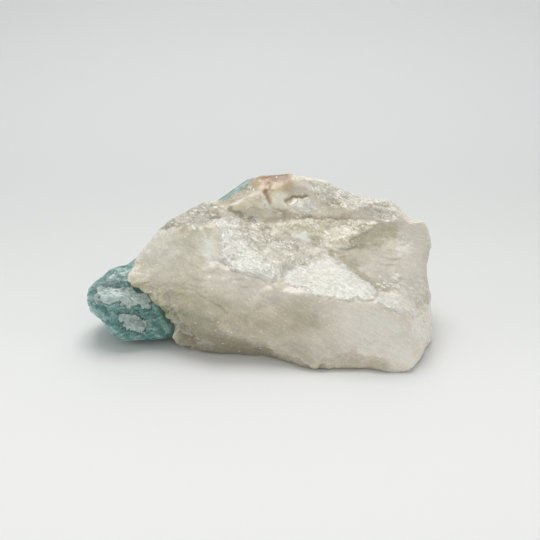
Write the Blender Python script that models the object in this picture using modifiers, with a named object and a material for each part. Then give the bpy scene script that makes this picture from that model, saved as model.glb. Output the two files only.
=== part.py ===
"""Aquamarine in matrix: a rough six-sided beryl crystal grown slantwise through a lump of milky quartz.

The stone lies as it rests on a table. +X is the viewer's right, +Y is away from the viewer and +Z is up.
All sizes below are in millimetres; the objects are built in metres.
"""
import math

import bmesh
import bpy
import numpy as np
from mathutils import Matrix, Vector

MM = 0.001

# The beryl crystal: an axis through the stone, a slight taper, a broken end at the left and its underside
AXIS_START = (-49.0, -7.0, 10.5)
AXIS_HEADING = (0.78, 0.53, 0.35)
CRYSTAL_FROM = -4.0
CRYSTAL_TO = 60.5
RADIUS_AT_BREAK = 12.2
RADIUS_IN_QUARTZ = 14.6
TOP_CORNER_ANGLE = 127.0
SOCKET_GAP = 0.4
UNDERSIDE = ((-50, 0, 2), (0.08, 0, -1))

# The flat spot that the stone rests on
TABLE = ((0, 0, 0), (0, 0, -1))

# How the stone broke: the size of the flat breaks, how far they step and how much they tilt
BREAK_SIZE = 8.5
BREAK_DEPTH = 0.7
BREAK_TILT = 0.08
BREAK_SEED = 2
FINE_BREAK_SIZE = 4.0
FINE_BREAK_DEPTH = 0.4
FINE_BREAK_SEED = 3
LUMP_BREAK_SIZE = 4.0
LUMP_BREAK_DEPTH = 0.6
LUMP_BREAK_SEED = 5
# In break sizes: how far apart the middles of two breaks are, and what a full turn of the skin counts for
BREAK_SPACING = 0.8
TURN_WEIGHT = 0.9

# How finely the skins are made
EDGE_SPACING = 4.0
SKIN_STEP = 0.9
CRYSTAL_SKIN_STEP = 0.7
QUARTZ_TRIANGLES = 7000
CRYSTAL_TRIANGLES = 2300
CUT_TOLERANCE = 1e-7

# Corners of the quartz, edge by edge, read over the stone from its left end
QUARTZ_HEART = (4.0, 9.0, 19.0)
QUARTZ_EDGES = {
    "lip over the crystal": [
        (-46, -8.5, 27), (-48.5, -11.5, 25), (-48, -15.5, 22.5), (-45, -16.5, 22.5), (-41.5, -18, 19),
        (-37.5, -19, 16.5), (-34, -20.5, 14), (-30.5, -22, 12), (-31.5, -21.5, 8.5), (-32, -21, 4)],
    "left shoulder": [(-46, -8.5, 27), (-45, -6, 30), (-41, -3, 33), (-38, 0, 36), (-34.5, 4, 38.5)],
    "crest": [
        (-34.5, 4, 38.5), (-30, 8, 38.5), (-26, 11, 40.5), (-22, 13, 41), (-17, 14, 40.5), (-14, 15, 41.5),
        (-10.5, 16, 43), (-7.5, 16.5, 44.5), (-4, 17.5, 47.5), (0, 18.5, 48.5), (10, 19, 49),
        (15, 18.5, 47.5),
        (19.5, 18, 47), (24, 18, 44.5),
        (28, 17, 42.5), (35, 16, 41.5), (42.5, 15, 40), (46.5, 12, 38.5), (48, 9, 35.5)],
    "step below the left crest": [(-38, 0, 36), (-30.5, -1, 38), (-23.5, -3, 39.5)],
    "foot of that step": [
        (-38.5, -3, 33.5), (-32, -5, 36), (-27.5, -5.5, 37), (-22.5, -5, 38), (-18.5, -3, 38)],
    "left front fold": [(-22.5, -5, 38), (-22.5, -13, 31), (-22, -23, 22.5), (-21.5, -27, 12.5)],
    "left front face": [(-35.5, -11, 28), (-28.5, -19, 23.5)],
    "foot of the slab": [
        (2, 1, 31.5), (8, -2, 29.5), (14.5, -3, 28.5), (19.5, -4, 27.5), (25, -4.5, 27.5), (29.5, -3, 27.5),
        (31, 1, 30), (36, 3.5, 32)],
    "frosted strip, left side": [(-18, 4, 37), (-16, -5, 33.5), (-18, -9, 32.5), (-16, -14, 29)],
    "frosted strip, right side": [
        (-8.5, 6, 35.5), (-9.5, 1, 33), (-8, -4, 30.5), (-2.5, -9, 30), (2, -14, 29.5)],
    "front crest": [
        (-22.5, -13, 31), (-16, -14, 29), (-6.5, -16, 28), (0.5, -16.5, 27.5), (3.5, -21, 24.5),
        (8.5, -22, 23.5), (16.5, -25, 23), (23, -27, 22), (33, -29, 22.5), (40.5, -30, 20.5),
        (49, -30, 16)],
    "top of the bright face": [
        (2, -14, 29.5), (8.5, -12, 27.5), (16.5, -6, 28), (20.5, -7.5, 27.5), (25.5, -11.5, 26),
        (29, -15, 24.5),
        (33.5, -22, 23)],
    "lower edge of the slab": [
        (1.5, 3, 33.5), (7, 0, 31.5), (14, -1, 30.5), (19, -2, 29.5), (24, -2.5, 30), (27.5, -2, 30),
        (28.5, 2, 32.5), (34, 5.5, 34.5)],
    "back edge of the slab": [
        (-4, 8, 35), (1.5, 8, 35), (10.5, 8, 35.5), (18, 8, 35.5), (26, 8, 35.5), (34, 5.5, 34.5)],
    "valley beside the bright face": [(23, -6, 26.5), (28, -7, 26), (32, -11, 24), (36, -17, 22.5)],
    "top of the right block": [(34, 5.5, 34.5), (40, 7, 35.5), (47, 6.5, 35.5), (53.5, 6, 36)],
    "right corner": [
        (53.5, 6, 36), (55, 2, 31.5), (55.5, -2, 28), (54, -8, 22), (54.5, -13, 18.5), (55, -15, 16),
        (55.5, -14, 7.5), (55, -13.5, 1)],
    "face of the right block": [(44, -12, 25.5), (43, -1, 30), (44.5, -23, 21.5)],
    "brow over the slab": [
        (-5, 9, 37), (0.5, 8.5, 39), (7, 8, 39.5), (16.5, 7.5, 38.5), (19.5, 8, 39.5), (28, 9, 39),
        (37.5, 8.5, 37), (47, 8, 37.5)],
    "shoulder above the brow": [
        (-14, 8, 41), (-7, 11, 43.5), (1.5, 13, 45), (10.5, 13.5, 44.5), (19, 13.5, 43.5), (28, 13, 40.5),
        (38.5, 11, 40)],
    "belly": [
        (-30.5, -22, 12), (-21.5, -28.5, 14), (-10, -29.5, 14), (-0.5, -30.5, 12.5), (10, -32, 10.5),
        (21, -32.5, 9.5)],
    "front of the right block": [(34, -32, 12), (45.5, -33, 9)],
    "front foot": [
        (-32, -21, 4), (-30, -20, 0), (-22.5, -24.5, 0.5), (-12.5, -25, 0.5), (-0.5, -26.5, 0.5),
        (4.5, -31, 1),
        (16.5, -35.5, 1.5), (21.5, -34, 1.5), (26, -35, 1.5), (34, -35, 1.5), (37.5, -36.5, 1),
        (43.5, -38, 0.5),
        (47, -35.5, 1), (49.5, -30, 2), (52, -21.5, 0.5), (55, -13.5, 1)],
    "behind the crest": [
        (-8, 29, 41), (0, 29, 42), (15, 29, 40), (30, 27, 36), (44, 22, 32), (51, 15, 30), (48, 9, 35.5)],
    "back ledge": [(-2, 31, 34), (10, 30, 33), (22, 31, 29), (33, 27, 28), (46, 20, 26)],
    "back": [(0, 34.5, 29), (11, 35, 27), (22, 34, 23), (35, 31, 20), (48, 24, 19), (54, 11, 17)],
    "back foot": [
        (-8, 28, 12), (4, 29, 9), (12, 32, 10), (26, 28, 5), (42, 24, 6), (52, 13, 4), (55, -2, 3)],
    "right side": [(54.5, 5, 24), (52.5, 0, 14), (55, 6, 9)],
    "under the back": [
        (-30, -20, 0), (-33, -10, 3), (-33, 2, 5), (-27, 13, 5), (-10, 21, 3.5), (10, 24, 3), (28, 23, 3.5),
        (43, 17, 3), (52, 2, 2), (53, -12, 1)],
    "around the flat spot": [
        (-22, -19, -1), (-24, -9, -1), (-17, 3, -1), (-4, 10, -1), (12, 13, -1), (27, 11, -1), (38, 6, -1),
        (45, -6, -1), (44, -24, -1), (20, -29, -1), (-10, -23, -1), (-22, -19, -1)],
    "under the stone": [(-10, -6, -2), (10, -6, -2), (30, -6, -2), (0, 2, -2), (20, 4, -2)],
}

# The socket side of the quartz: distance along the axis, angle round it and distance from it
RIMS = {
    "top rim": [
        (20, 112, 13), (30, 106, 15), (40, 110, 13.8), (46, 104, 13), (58, 106, 13.2), (64, 112, 13.5)],
    "inside": [(6, 150, 4), (20, 180, 5), (36, 180, 6), (44, 190, 10), (50, 188, 15.5), (60, 185, 17)],
    "foot rim": [
        (8, 238, 13), (18, 250, 15), (30, 232, 16), (40, 246, 16.5), (50, 244, 18), (56, 215, 18.5)],
}

# Corners of the rough lump at the crystal's broken end
LUMP_HEART = (-45.0, -9.0, 12.0)
LUMP_EDGES = {
    "top edge": [
        (-46, -7, 26), (-50, -6.5, 25), (-54.5, -7, 23), (-58, -8, 21), (-58.5, -12, 20.5), (-61, -13, 19),
        (-62.5, -14, 17)],
    "upper facet": [(-54, -13.5, 21.5), (-49, -13, 22.5)],
    "notch above the terrace": [(-57, -13, 19), (-52, -12.5, 19), (-44.5, -13, 18.5)],
    "terrace edge": [
        (-58, -18, 17.5), (-53, -20, 17.5), (-48.5, -20.5, 16.5), (-45, -20, 15.5), (-41, -18, 15)],
    "valley": [(-56.5, -17, 14.5), (-50.5, -17, 13), (-44, -16.5, 11.5), (-37.5, -16, 10.5)],
    "lower terrace": [(-50.5, -19, 11.5), (-47, -18.5, 11), (-44, -18, 9.5)],
    "lower terrace edge": [(-50, -22.5, 9.5), (-44.5, -22, 7.5)],
    "hollow below": [(-48, -19.5, 5.5), (-40, -17.5, 7.5), (-35, -17, 7), (-37, -19.5, 5.5)],
    "broken end": [
        (-62.5, -14, 17), (-61.5, -15, 15), (-59.5, -17, 12.5), (-57, -18, 11.5), (-55.5, -19, 10.5),
        (-54, -19.5, 7.5), (-51, -20.5, 4.5), (-50, -20, 3.5)],
    "bottom": [(-50, -20, 3.5), (-45.5, -20, 2.5), (-42, -20, 2.5), (-39, -20, 3), (-33, -18, 3)],
    "broken end, behind": [
        (-62.5, -14, 17), (-63, -5, 13), (-59, 1, 9), (-55, -3, 4), (-52, -12, 2), (-50, -20, 3.5)],
    "inside the stone": [
        (-30, -12, 8), (-32, -8, 16), (-38, -2, 24), (-42, 6, 16), (-48, 6, 14), (-38, -6, 3)],
}

# Broad faces that broke clean: the middle of each and how far it reaches, its inner part wholly clean
CLEAN_SHARE = 0.5
CLEAN_FACES = {
    "bright face": ((18, -18, 25.5), 15),
    "front of the right block": ((40, -32, 12), 15),
    "left front face": ((-30, -17, 22), 9),
    "top of the slab": ((12, 4, 33), 9),
    "face of the right block": ((44, -4, 28), 10),
}

# Where pieces have broken off the crystal
CRYSTAL_CUTS = {
    "chip on the back edge": [
        (-44, 13, 12), (-33, 20, 17), (-40, 20, 8), (-30, 26, 12), (-43, 9, 6), (-31, 17, 10)],
    "step on the top face": [
        (-58, -4, 26), (-47, 4, 31), (-50, -10, 30), (-52, -7, 23.6), (-57, -1, 22.5), (-49, 3, 25)],
}

# Large flat breaks at the back and the right end: a point on each and the way it faces
FLAT_BREAKS = {
    "back": ((16, 31, 28), (0.1, 0.93, 0.35)),
    "back right corner": ((42, 23.5, 20), (0.6, 0.8, 0.05)),
    "low back": ((14, 28.5, 10), (-0.1, 0.8, -0.6)),
    "right end": ((55.5, 4, 18), (0.97, 0.22, 0.1)),
    "behind the crest": ((14, 25, 43), (0.1, 0.62, 0.78)),
    "top right corner": ((47.5, 18, 35.5), (0.55, 0.45, 0.7)),
}

# Corners of the quartz that broke sharp, each the hull of a few corners: what they add stays crisp
QUARTZ_BLOCKS = {
    "corner of the right block": [
        (46.5, 6.8, 35.9), (53.8, 5.8, 36.6), (55.5, 3, 32.8), (56.2, -1, 29), (47, 14, 30.5), (53, 13, 29.5),
        (54.5, 10, 24), (46, 2, 30), (50, 0, 27)],
    "shard at the end of the crest": [
        (43, 10, 37), (44, 13, 39.3), (47.2, 11, 38.6), (48.5, 9.3, 35.4), (45.5, 13, 35.5), (43, 14, 38)],
}

# Broken hollows in the quartz, each the hull of a few corners: what they take away leaves a crisp ledge
QUARTZ_CUTS = {
    "bright face": [
        (3.5, -13, 25.2), (3.5, -25, 22), (24, -31, 20.9), (43, -35, 20.4), (34, -20, 24.2), (25, -8, 27),
        (17, -5, 27.5), (3.5, -13, 34), (3.5, -25, 31), (24, -31, 30), (43, -35, 30), (34, -20, 33),
        (25, -8, 35), (17, -5, 35)],
    "overhang above the slab": [
        (-2, 5, 35.7), (-2, 5, 38), (-1, 8.8, 36.4), (17, 4.5, 35.7), (17, 4.5, 38.3), (15, 11, 36.6),
        (37, 4, 34.8), (37, 4, 36.4), (34, 9.4, 35.5)],
    "slot above the frosted strip": [
        (-16, 4, 41.5), (-4, 3, 37.5), (-15, 5, 38), (-6, 3, 34), (-12.5, 9, 39.5), (-4, 8.8, 36),
        (-12.5, 8.5, 38.5), (-5, 8.5, 35)],
}

# Shell-shaped scoops in the quartz, each a centre and three radii
QUARTZ_SCOOPS = {
    "scoop under the crest": ((11, 9, 45.5), (7.5, 5.5, 5.2)),
    "second scoop": ((22.5, 9.5, 43.5), (6, 4.5, 4)),
}

# Plain materials
BERYL_COLOUR = (0.16, 0.26, 0.25)
BERYL_ROUGHNESS = 0.45
QUARTZ_COLOUR = (0.55, 0.52, 0.44)
QUARTZ_ROUGHNESS = 0.4


def ring_point(distance, angle, radius):
    """A point round the crystal's axis: so far along it, turned by the angle, at the radius."""
    along = Vector(AXIS_HEADING).normalized()
    side = along.cross(Vector((0, 0, 1))).normalized()
    over = side.cross(along)
    turn = math.radians(angle)
    outward = side * math.cos(turn) + over * math.sin(turn)
    return Vector(AXIS_START) + along * distance + outward * radius


def edge_points(corners):
    """The corners of one edge, and points between them close enough for the skin to keep the edge."""
    points = [Vector(corners[0])]
    for start, end in zip(corners, corners[1:]):
        start, end = Vector(start), Vector(end)
        parts = max(1, round((end - start).length / EDGE_SPACING))
        points += [start.lerp(end, k / parts) for k in range(1, parts + 1)]
    return points


def skin_over(name, points, heart):
    """One closed skin through all the points, joined as neighbours are when seen from the heart."""
    heart = Vector(heart)
    places = {}
    for point in points:
        heading = (point - heart).normalized()
        places[tuple(round(c, 3) for c in heading)] = point
    mesh = bmesh.new()
    for heading in places:
        mesh.verts.new(Vector(heading).normalized())
    bmesh.ops.convex_hull(mesh, input=mesh.verts)
    for vert in mesh.verts:
        key = min(places, key=lambda h: (Vector(h) - vert.co).length_squared)
        vert.co = places[key] * MM
    bmesh.ops.recalc_face_normals(mesh, faces=mesh.faces)
    return make_object(name, mesh)


def hull_of(name, corners):
    """The convex block on these corners."""
    mesh = bmesh.new()
    for corner in corners:
        mesh.verts.new(Vector(corner) * MM)
    bmesh.ops.convex_hull(mesh, input=mesh.verts)
    bmesh.ops.recalc_face_normals(mesh, faces=mesh.faces)
    return make_object(name, mesh)


def scoop_of(name, centre, radii):
    """An egg-shaped block that leaves a rounded scoop."""
    mesh = bmesh.new()
    bmesh.ops.create_uvsphere(mesh, u_segments=20, v_segments=12, radius=MM)
    place = Matrix.Translation(Vector(centre) * MM)
    bmesh.ops.transform(mesh, matrix=place @ Matrix.Diagonal((*radii, 1)), verts=mesh.verts)
    return make_object(name, mesh)


def make_object(name, mesh):
    """An object that holds the finished bmesh."""
    data = bpy.data.meshes.new(name)
    mesh.to_mesh(data)
    mesh.free()
    piece = bpy.data.objects.new(name, data)
    parts.objects.link(piece)
    return piece


def settle(piece):
    """The piece's mesh as its modifiers leave it, with none left on it."""
    scene = bpy.context.evaluated_depsgraph_get()
    data = bpy.data.meshes.new_from_object(piece.evaluated_get(scene))
    piece.modifiers.clear()
    old = piece.data
    piece.data = data
    bpy.data.meshes.remove(old)


def reskin(piece, step):
    """An even skin over the same shape, with a corner about every step of millimetres."""
    remesh = piece.modifiers.new("skin", "REMESH")
    remesh.mode = "VOXEL"
    remesh.voxel_size = step * MM
    settle(piece)


def combine(piece, other, operation):
    """Join the other solid to the piece, or cut it out, and drop the other."""
    boolean = piece.modifiers.new("combine", "BOOLEAN")
    boolean.operation = operation
    boolean.solver = "EXACT"
    boolean.object = other
    settle(piece)
    bpy.data.objects.remove(other)


def thin_out(piece, triangles):
    """Fewer, larger faces over the same shape."""
    count = sum(len(face.vertices) - 2 for face in piece.data.polygons)
    decimate = piece.modifiers.new("thin", "DECIMATE")
    decimate.ratio = min(1.0, triangles / count)
    decimate.use_collapse_triangulate = True
    settle(piece)


def break_surface(piece, size, depth, seed):
    """Flatten the skin into breaks: every corner goes to the plane of the break it is nearest to."""
    rng = np.random.default_rng(seed)
    mesh = piece.data
    count = len(mesh.vertices)
    places = np.empty(count * 3)
    mesh.vertices.foreach_get("co", places)
    places = places.reshape(-1, 3) / MM
    facing = np.empty(count * 3)
    mesh.vertex_normals.foreach_get("vector", facing)
    facing = facing.reshape(-1, 3)
    marks = np.hstack([places, facing * size * TURN_WEIGHT])
    centres = []
    for k in rng.permutation(count):
        if not centres or np.min(((marks[centres] - marks[k]) ** 2).sum(1)) > (size * BREAK_SPACING) ** 2:
            centres.append(k)
    nearest = np.full(count, -1)
    best = np.full(count, np.inf)
    for cell, k in enumerate(centres):
        far = ((marks - marks[k]) ** 2).sum(1)
        closer = far < best
        nearest[closer] = cell
        best[closer] = far[closer]
    cells = len(centres)
    members = np.bincount(nearest, minlength=cells)[:, None]
    middle = np.stack([np.bincount(nearest, places[:, i], cells) for i in range(3)], 1) / members
    normal = np.stack([np.bincount(nearest, facing[:, i], cells) for i in range(3)], 1)
    rough = np.ones(cells)
    for centre, reach in CLEAN_FACES.values():
        away = np.linalg.norm(middle - np.array(centre), axis=1)
        rough = np.minimum(rough, np.clip(away / reach - CLEAN_SHARE, 0, 1))
    normal += rng.normal(0, BREAK_TILT, (cells, 3)) * members * rough[:, None]
    normal /= np.linalg.norm(normal, axis=1, keepdims=True)
    height = ((places - middle[nearest]) * normal[nearest]).sum(1)
    places -= normal[nearest] * np.clip(height, -depth, depth)[:, None]
    mesh.vertices.foreach_set("co", (places * MM).ravel())
    mesh.update()


def cut_flat(piece, point, facing):
    """Take away what lies beyond the plane through the point that faces that way."""
    mesh = bmesh.new()
    mesh.from_mesh(piece.data)
    everything = mesh.verts[:] + mesh.edges[:] + mesh.faces[:]
    bmesh.ops.bisect_plane(mesh, geom=everything, dist=CUT_TOLERANCE, plane_co=Vector(point) * MM,
                           plane_no=facing, clear_outer=True)
    rim = [edge for edge in mesh.edges if edge.is_boundary]
    bmesh.ops.triangle_fill(mesh, edges=rim, use_beauty=True, use_dissolve=False)
    bmesh.ops.recalc_face_normals(mesh, faces=mesh.faces)
    mesh.to_mesh(piece.data)
    mesh.free()


def crystal_prism():
    """The six-sided prism with a slight taper, laid along its axis."""
    mesh = bmesh.new()
    length = CRYSTAL_TO - CRYSTAL_FROM
    bmesh.ops.create_cone(mesh, cap_ends=True, segments=6, radius1=RADIUS_AT_BREAK * MM,
                          radius2=RADIUS_IN_QUARTZ * MM, depth=length * MM)
    along = Vector(AXIS_HEADING).normalized()
    corner = (ring_point(0, TOP_CORNER_ANGLE, 1.0) - ring_point(0, 0, 0.0)).normalized()
    turn = Matrix((corner, along.cross(corner), along)).transposed().to_4x4()
    middle = ring_point((CRYSTAL_FROM + CRYSTAL_TO) / 2, 0, 0) * MM
    bmesh.ops.transform(mesh, matrix=Matrix.Translation(middle) @ turn, verts=mesh.verts)
    return make_object("aquamarine", mesh)


def make_crystal():
    """The beryl crystal with the rough lump at its broken end."""
    crystal = crystal_prism()
    points = [point for corners in LUMP_EDGES.values() for point in edge_points(corners)]
    lump = skin_over("lump", points, LUMP_HEART)
    reskin(lump, SKIN_STEP)
    break_surface(lump, LUMP_BREAK_SIZE, LUMP_BREAK_DEPTH, LUMP_BREAK_SEED)
    reskin(lump, SKIN_STEP)
    combine(crystal, lump, "UNION")
    for name, corners in CRYSTAL_CUTS.items():
        combine(crystal, hull_of(name, corners), "DIFFERENCE")
    cut_flat(crystal, *UNDERSIDE)
    reskin(crystal, CRYSTAL_SKIN_STEP)
    thin_out(crystal, CRYSTAL_TRIANGLES)
    return crystal


def make_quartz(crystal):
    """The lump of milky quartz, with the socket that the crystal fills."""
    points = [point for corners in QUARTZ_EDGES.values() for point in edge_points(corners)]
    for rim in RIMS.values():
        points += edge_points([ring_point(*place) for place in rim])
    quartz = skin_over("quartz_matrix", points, QUARTZ_HEART)
    reskin(quartz, SKIN_STEP)
    break_surface(quartz, BREAK_SIZE, BREAK_DEPTH, BREAK_SEED)
    for point, facing in FLAT_BREAKS.values():
        cut_flat(quartz, point, facing)
    for name, corners in QUARTZ_BLOCKS.items():
        combine(quartz, hull_of(name, corners), "UNION")
    for name, corners in QUARTZ_CUTS.items():
        combine(quartz, hull_of(name, corners), "DIFFERENCE")
    for name, (centre, radii) in QUARTZ_SCOOPS.items():
        combine(quartz, scoop_of(name, centre, radii), "DIFFERENCE")
    reskin(quartz, SKIN_STEP)
    break_surface(quartz, FINE_BREAK_SIZE, FINE_BREAK_DEPTH, FINE_BREAK_SEED)
    reskin(quartz, SKIN_STEP)
    thin_out(quartz, QUARTZ_TRIANGLES)
    cut_flat(quartz, *TABLE)
    socket = crystal.copy()
    socket.data = crystal.data.copy()
    parts.objects.link(socket)
    swell = socket.modifiers.new("swell", "DISPLACE")
    swell.strength = SOCKET_GAP * MM
    swell.mid_level = 0.0
    settle(socket)
    combine(quartz, socket, "DIFFERENCE")
    return quartz


def stand_on_origin(pieces):
    """Shift the pieces together, so that the middle of their footprint is at the origin."""
    corners = [vert.co for piece in pieces for vert in piece.data.vertices]
    middle = Vector([(min(c[i] for c in corners) + max(c[i] for c in corners)) / 2 for i in range(2)] + [0])
    for piece in pieces:
        piece.data.transform(Matrix.Translation(-middle))
    return middle


def paint(piece, name, colour, roughness):
    """The piece's own plain material."""
    material = bpy.data.materials.new(name)
    material.use_nodes = True
    shader = material.node_tree.nodes["Principled BSDF"]
    shader.inputs["Base Color"].default_value = (*colour, 1.0)
    shader.inputs["Roughness"].default_value = roughness
    piece.data.materials.clear()
    piece.data.materials.append(material)


for old in list(bpy.data.objects):
    bpy.data.objects.remove(old)
parts = bpy.data.collections.new("aquamarine_in_matrix")
bpy.context.scene.collection.children.link(parts)

aquamarine = make_crystal()
quartz_matrix = make_quartz(aquamarine)
footprint_middle = stand_on_origin([aquamarine, quartz_matrix])
print("middle of the footprint in the corners' frame, mm:", [round(c / MM, 2) for c in footprint_middle])
paint(aquamarine, "beryl", BERYL_COLOUR, BERYL_ROUGHNESS)
paint(quartz_matrix, "milky quartz", QUARTZ_COLOUR, QUARTZ_ROUGHNESS)
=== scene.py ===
# %% [markdown]
# # Aquamarine in matrix
#
# A lump of milky vein quartz, broken out of the rock, with a rough blue-green beryl crystal grown slantwise
# through it. The stone lies on a pale sweep under a large soft light, and the camera looks down on it at 25
# degrees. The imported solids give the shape, and every step below gives them the skin that they have in the
# hand: first the scene, then the skins of the two minerals, then what each is made of.

# %% Load the fixed frame
import itertools
import math

import bmesh
import bpy
import numpy as np
from mathutils import Euler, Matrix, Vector


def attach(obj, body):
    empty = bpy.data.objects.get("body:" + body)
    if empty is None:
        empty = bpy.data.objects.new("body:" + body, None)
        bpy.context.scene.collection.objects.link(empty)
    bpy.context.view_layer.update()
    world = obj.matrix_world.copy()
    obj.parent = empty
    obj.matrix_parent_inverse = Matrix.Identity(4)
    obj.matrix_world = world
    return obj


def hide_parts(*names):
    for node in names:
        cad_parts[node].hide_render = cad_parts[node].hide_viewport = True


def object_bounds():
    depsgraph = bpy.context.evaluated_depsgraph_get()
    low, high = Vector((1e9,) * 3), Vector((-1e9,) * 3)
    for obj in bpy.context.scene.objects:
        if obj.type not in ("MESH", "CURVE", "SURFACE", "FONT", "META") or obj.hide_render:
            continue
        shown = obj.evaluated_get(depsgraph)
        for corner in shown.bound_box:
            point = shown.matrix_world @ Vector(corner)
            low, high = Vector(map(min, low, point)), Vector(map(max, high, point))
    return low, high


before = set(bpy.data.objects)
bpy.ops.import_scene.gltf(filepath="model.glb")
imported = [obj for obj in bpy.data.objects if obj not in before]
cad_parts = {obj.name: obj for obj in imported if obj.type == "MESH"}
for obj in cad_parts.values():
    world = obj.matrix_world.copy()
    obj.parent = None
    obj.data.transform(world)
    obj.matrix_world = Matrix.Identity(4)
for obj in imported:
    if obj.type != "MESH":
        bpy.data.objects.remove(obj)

cad_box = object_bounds()
MM = 0.001
print("the stone's box, mm:", [[round(c / MM, 1) for c in corner] for corner in cad_box])

# %% [markdown]
# The viewer stands in front of the stone, 420 mm from it, and looks down at 25 degrees. A lens of 80.5 mm
# on the usual 36 mm film gives the same narrow view as the picture, with the stone a little above the
# middle.

# %% Camera
LOOK_AT = Vector((3.2, 0.4, 20)) * MM
VIEW_DISTANCE = 420 * MM
VIEW_DOWN = math.radians(25)
LENS_MM = 80.5

sight = Vector((0, math.cos(VIEW_DOWN), -math.sin(VIEW_DOWN)))
camera = bpy.data.objects.new("camera", bpy.data.cameras.new("camera"))
camera.data.lens = LENS_MM
camera.data.clip_start = 10 * MM
camera.location = LOOK_AT - sight * VIEW_DISTANCE
camera.rotation_euler = sight.to_track_quat("-Z", "Y").to_euler()
bpy.context.scene.collection.objects.link(camera)
bpy.context.scene.camera = camera
print("camera at, mm:", [round(c / MM) for c in camera.location])

# %% [markdown]
# Colours are written as the hex values that a paint program shows. Blender's shaders work in linear light,
# so one function turns a hex value into linear numbers. A second one adds a shader node with its settings
# and links in a single call, because a material here is a few dozen nodes and each of them should fit on a
# line.

# %% Colours and nodes
def linear(colour):
    """sRGB hex to linear red, green, blue: c / 12.92 near black, else ((c + 0.055) / 1.055) to the power
    2.4."""
    parts = [int(colour[i:i + 2], 16) / 255 for i in (1, 3, 5)]
    return [c / 12.92 if c <= 0.04045 else ((c + 0.055) / 1.055) ** 2.4 for c in parts]


def add(tree, kind, inputs=(), **settings):
    """Add one node. settings are its own properties; inputs gives sockets a value, or an output to link."""
    node = tree.nodes.new("ShaderNode" + kind)
    for name, value in settings.items():
        setattr(node, name, value)
    for socket, value in dict(inputs).items():
        if isinstance(value, bpy.types.NodeSocket):
            tree.links.new(value, node.inputs[socket])
        else:
            node.inputs[socket].default_value = value
    return node


def new_material(name):
    """An empty material with its Principled shader, joined to the output."""
    material = bpy.data.materials.new(name)
    material.use_nodes = True
    tree = material.node_tree
    return material, tree, tree.nodes["Principled BSDF"]


print("mid grey, #808080, is", round(linear("#808080")[0], 3), "in linear light")

# %% [markdown]
# The stone lies on a sheet of white card that bends up behind it, so there is no horizon. A sweep is one
# profile, a flat floor, a quarter circle and a wall, carried sideways along a straight path. Its sizes are
# in metres, and it is far larger than the stone, so that its ends stay out of every view.

# %% Sweep
def sweep_surface(half_width, front, back, bend, wall, steps):
    """Points (x, y, z): the profile is flat from front to back, then a quarter circle of radius bend, then a
    wall, and the same profile is set at every x across."""
    turn = np.linspace(0, math.pi / 2, steps)
    depth = np.concatenate([[front], back + bend * np.sin(turn), [back + bend]])
    height = np.concatenate([[0], bend - bend * np.cos(turn), [bend + wall]])
    across = np.linspace(-half_width, half_width, 9)
    grid_x, grid_y = np.meshgrid(across, depth, indexing="ij")
    grid_z = np.broadcast_to(height, grid_x.shape)
    return np.stack([grid_x, grid_y, grid_z], -1)


def mesh_from_grid(name, points):
    """A mesh with one four-sided face between each four neighbouring points of the grid."""
    rows, columns = points.shape[:2]
    number = np.arange(rows * columns).reshape(rows, columns)
    corners = [number[:-1, :-1], number[1:, :-1], number[1:, 1:], number[:-1, 1:]]
    faces = np.stack([c.ravel() for c in corners], 1)
    data = bpy.data.meshes.new(name)
    data.from_pydata(points.reshape(-1, 3).tolist(), [], faces.tolist())
    data.shade_smooth()
    piece = bpy.data.objects.new(name, data)
    bpy.context.scene.collection.objects.link(piece)
    return piece


sweep_points = sweep_surface(half_width=3.0, front=-2.0, back=0.45, bend=0.5, wall=1.6, steps=24)
sweep = mesh_from_grid("sweep", sweep_points)
print("sweep:", len(sweep.data.polygons), "faces")

# %% [markdown]
# Card is uncoated paper: it scatters light evenly and hardly shines, so its roughness is 0.7. Light falls
# off behind the stone, and that is painted into the card: its colour turns a little greyer there, a
# painted shade. The change runs over the floor from just in front of the stone to well behind it.

# %% White card
# CARD_FAR is the white of the card with the painted shade of the falling light in it.
CARD_NEAR, CARD_FAR = "#F9F9F7", "#D2D4D2"
GREYS_FROM, GREYS_TO = -0.14, 0.16

card, tree, shader = new_material("white card")
behind = add(tree, "TexCoord").outputs["Object"]
behind = add(tree, "SeparateXYZ", {0: behind}).outputs["Y"]
behind = add(tree, "MapRange", {0: behind, 1: GREYS_FROM, 2: GREYS_TO},
             interpolation_type="SMOOTHSTEP").outputs[0]
card_colour = add(tree, "Mix", {0: behind, 6: (*linear(CARD_NEAR), 1), 7: (*linear(CARD_FAR), 1)},
                  data_type="RGBA").outputs[2]
tree.links.new(card_colour, shader.inputs["Base Color"])
shader.inputs["Roughness"].default_value = 0.7
sweep.data.materials.append(card)
print(card.name, "has", len(tree.nodes), "nodes")

# %% [markdown]
# The light is a white tent. A small panel overhead and one behind make the upward faces the brightest and
# give the stone its soft shadow. Wide, weak panels in front and at both sides fill the shade, so that the
# sides look as they do on a table by a window, and an even white world closes the gaps.

# %% Light
def add_panel(name, side, power, place, aim):
    """A square area light, side metres wide, at the place and facing the point aim."""
    lamp = bpy.data.lights.new(name, "AREA")
    lamp.size = side
    lamp.energy = power
    holder = bpy.data.objects.new(name, lamp)
    holder.location = place
    holder.rotation_euler = (Vector(aim) - Vector(place)).to_track_quat("-Z", "Y").to_euler()
    bpy.context.scene.collection.objects.link(holder)


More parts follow.
